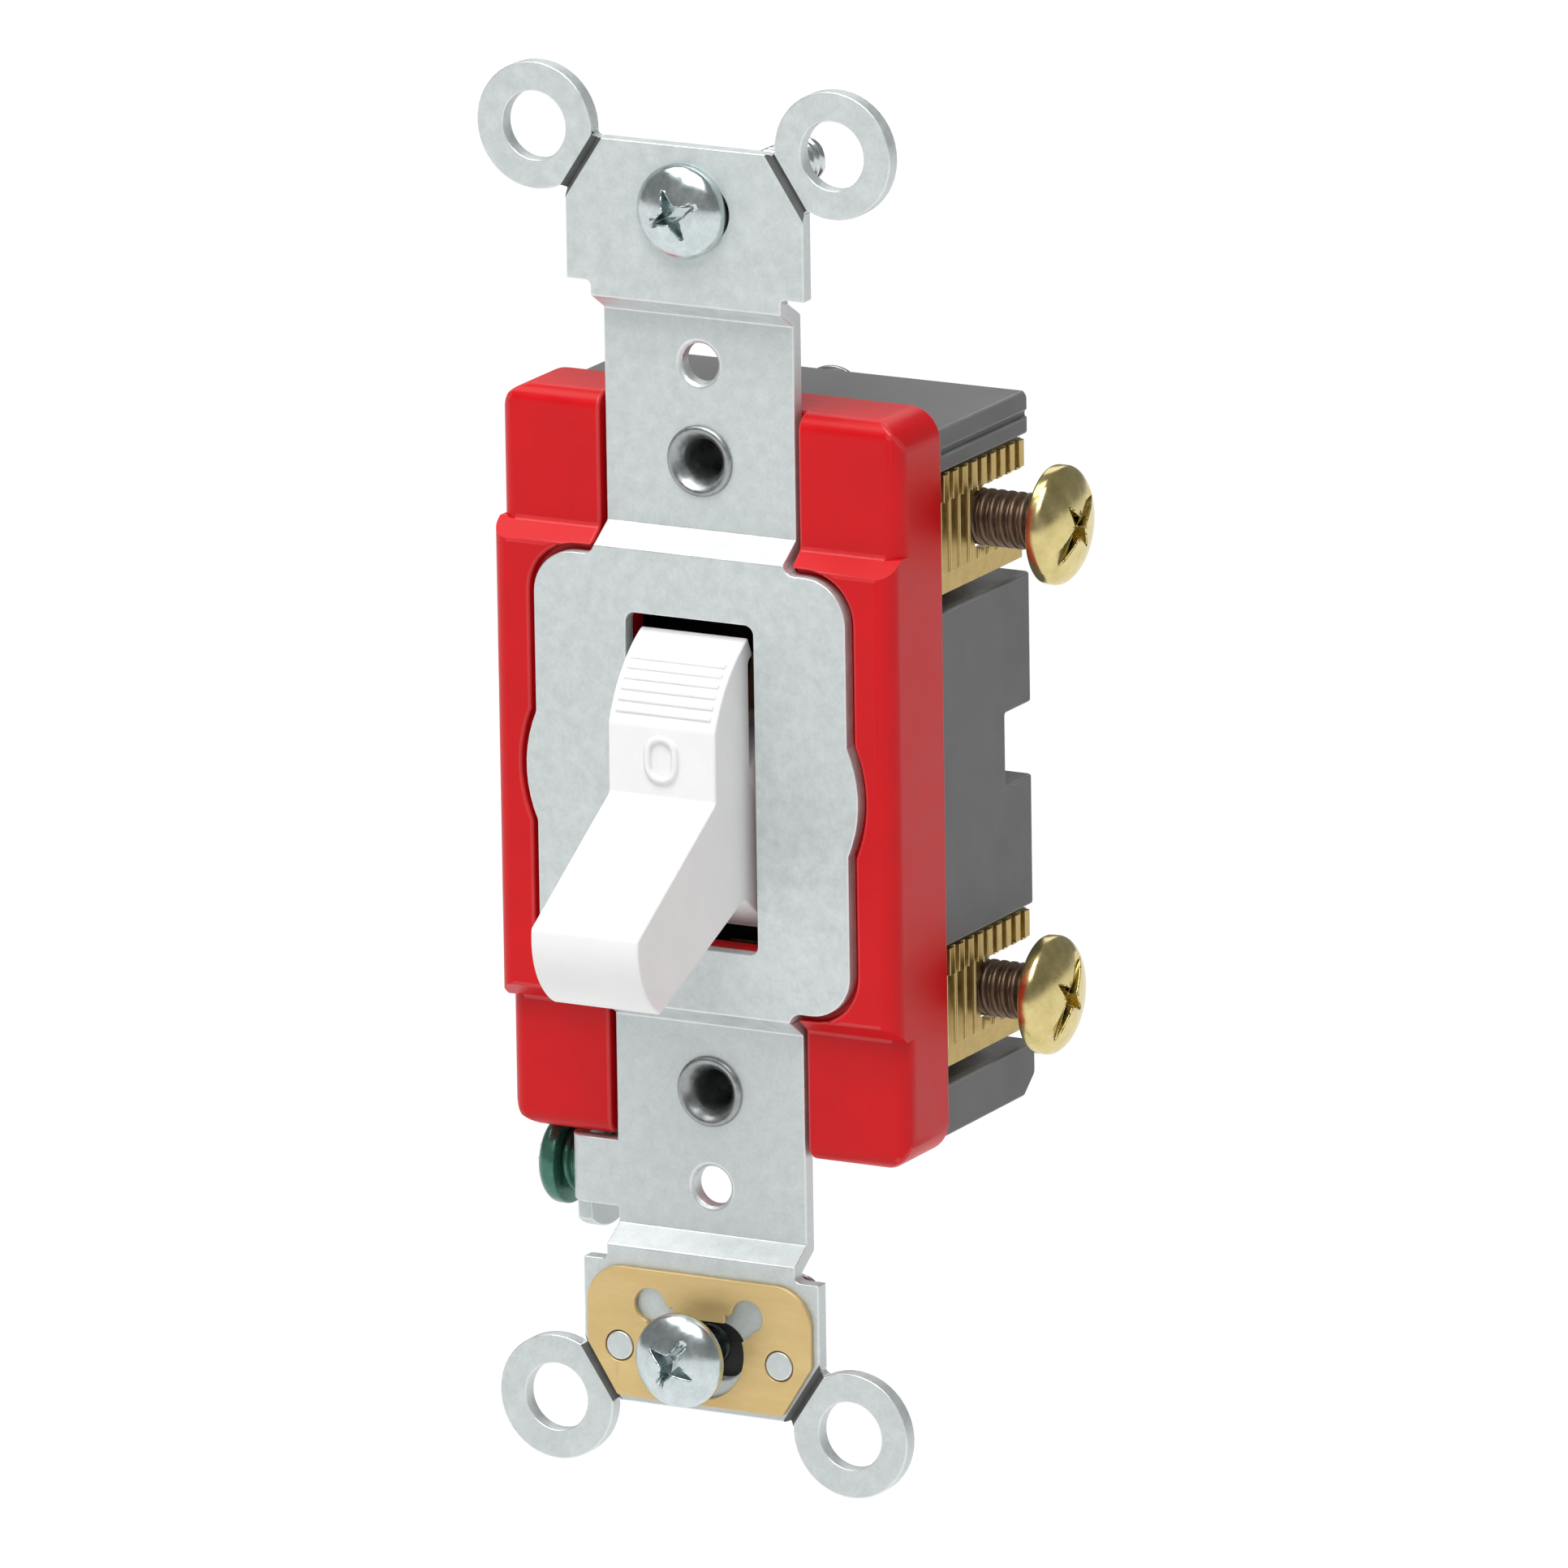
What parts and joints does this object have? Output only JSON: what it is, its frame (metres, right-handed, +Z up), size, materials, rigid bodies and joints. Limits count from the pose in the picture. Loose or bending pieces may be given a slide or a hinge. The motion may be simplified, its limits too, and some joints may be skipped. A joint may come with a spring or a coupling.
{
  "type": "toggle wall switch",
  "caption": "Strap-mounted toggle wall switch with break-off ears, red front cover, grey rear body, side clamp terminals, ground screw and self-grounding clip.",
  "frame": {"origin": "midway between the two wall-plate holes, on the front face of the strap's riveted sections", "axes": "+X right as seen from the room, +Y back into the wall, +Z up along the strap; the lever leaves along -Y"},
  "size_m": [0.0396, 0.0387, 0.1026],
  "materials": {
    "strap_steel": "galvanised, matt and lightly mottled",
    "cover_plastic": "red thermoset, semi-gloss",
    "body_plastic": "grey thermoset, matt",
    "rivet_steel": "rolled tubular rivet, satin",
    "clip_brass": "thin brass strip, matt tan",
    "bumper_rubber": "black rubber",
    "lever_plastic": "white nylon, satin",
    "spring_steel": "drawn spring wire",
    "plunger_plastic": "natural acetal",
    "arm_copper": "copper alloy strip",
    "contact_silver": "silver alloy contact, satin",
    "terminal_brass": "stamped brass with raised ridges",
    "clamp_brass": "plated brass nut plate",
    "screw_brass": "polished brass",
    "screw_green": "green dyed finish on steel",
    "washer_fibre": "black vulcanised fibre",
    "screw_zinc": "bright zinc plate"
  },
  "bodies": {
    "device": {"mounting_strap": "strap_steel", "front_cover": "cover_plastic", "rear_body": "body_plastic", "strap_rivets": "rivet_steel", "ground_clip": "clip_brass", "stop_bumpers": "bumper_rubber", "arm_bearing": "arm_copper", "fixed_contact": "contact_silver", "line_terminal": "terminal_brass", "load_terminal": "terminal_brass"},
    "lever": {"toggle_lever": "lever_plastic", "toggle_spring": "spring_steel", "spring_plunger": "plunger_plastic"},
    "arm": {"contact_arm": "arm_copper", "moving_contact": "contact_silver"},
    "line_clamp": {"line_clamp": "clamp_brass"},
    "load_clamp": {"load_clamp": "clamp_brass"},
    "line_screw": {"line_screw": "screw_brass"},
    "load_screw": {"load_screw": "screw_brass"},
    "ground_screw": {"ground_screw": "screw_green"},
    "top_washer": {"top_washer": "washer_fibre"},
    "bottom_washer": {"bottom_washer": "washer_fibre"},
    "top_screw": {"top_mounting_screw": "screw_zinc"},
    "bottom_screw": {"bottom_mounting_screw": "screw_zinc"}
  },
  "joints": [
    {"name": "lever_throw", "type": "hinge", "parent": "device", "child": "lever", "pos_m": [0, 0.0034, 0], "axis": [-1, 0, 0], "range_deg": [0, 54]},
    {"name": "arm_rock", "type": "hinge", "parent": "device", "child": "arm", "pos_m": [0, 0.0113, 0], "axis": [1, 0, 0], "range_deg": [0, 26]},
    {"name": "line_screw_turn", "type": "hinge", "parent": "device", "child": "line_screw", "pos_m": [0.0209, 0.0137, 0.0176], "axis": [-1, 0, 0], "range_deg": [0, 810]},
    {"name": "line_clamp_slide", "type": "slide", "parent": "device", "child": "line_clamp", "axis": [1, 0, 0], "range_m": [0, 0.00179]},
    {"name": "load_screw_turn", "type": "hinge", "parent": "device", "child": "load_screw", "pos_m": [0.0198, 0.0137, -0.017], "axis": [-1, 0, 0], "range_deg": [0, 810]},
    {"name": "load_clamp_slide", "type": "slide", "parent": "device", "child": "load_clamp", "axis": [1, 0, 0], "range_m": [0, 0.00179]},
    {"name": "ground_screw_turn", "type": "hinge", "parent": "device", "child": "ground_screw", "pos_m": [-0.0136, 0.0045, -0.0307], "axis": [1, 0, 0], "continuous": true},
    {"name": "top_washer_slide", "type": "slide", "parent": "device", "child": "top_washer", "axis": [0, -1, 0], "range_m": [0, 0.003]},
    {"name": "top_screw_turn", "type": "hinge", "parent": "top_washer", "child": "top_screw", "pos_m": [0, -0.0019, 0.04166], "axis": [0, 1, 0], "continuous": true},
    {"name": "bottom_washer_slide", "type": "slide", "parent": "device", "child": "bottom_washer", "axis": [0, -1, 0], "range_m": [-0.0025, 0]},
    {"name": "bottom_screw_turn", "type": "hinge", "parent": "bottom_washer", "child": "bottom_screw", "pos_m": [0, -0.0049, -0.04166], "axis": [0, 1, 0], "continuous": true}
  ],
  "couplings": [
    {"joint": "arm_rock", "follows": "lever_throw", "ratio": 0.48148},
    {"joint": "line_screw_turn", "follows": "line_clamp_slide", "rad_per_m": 7915.8},
    {"joint": "load_screw_turn", "follows": "load_clamp_slide", "rad_per_m": 7915.8}
  ]
}
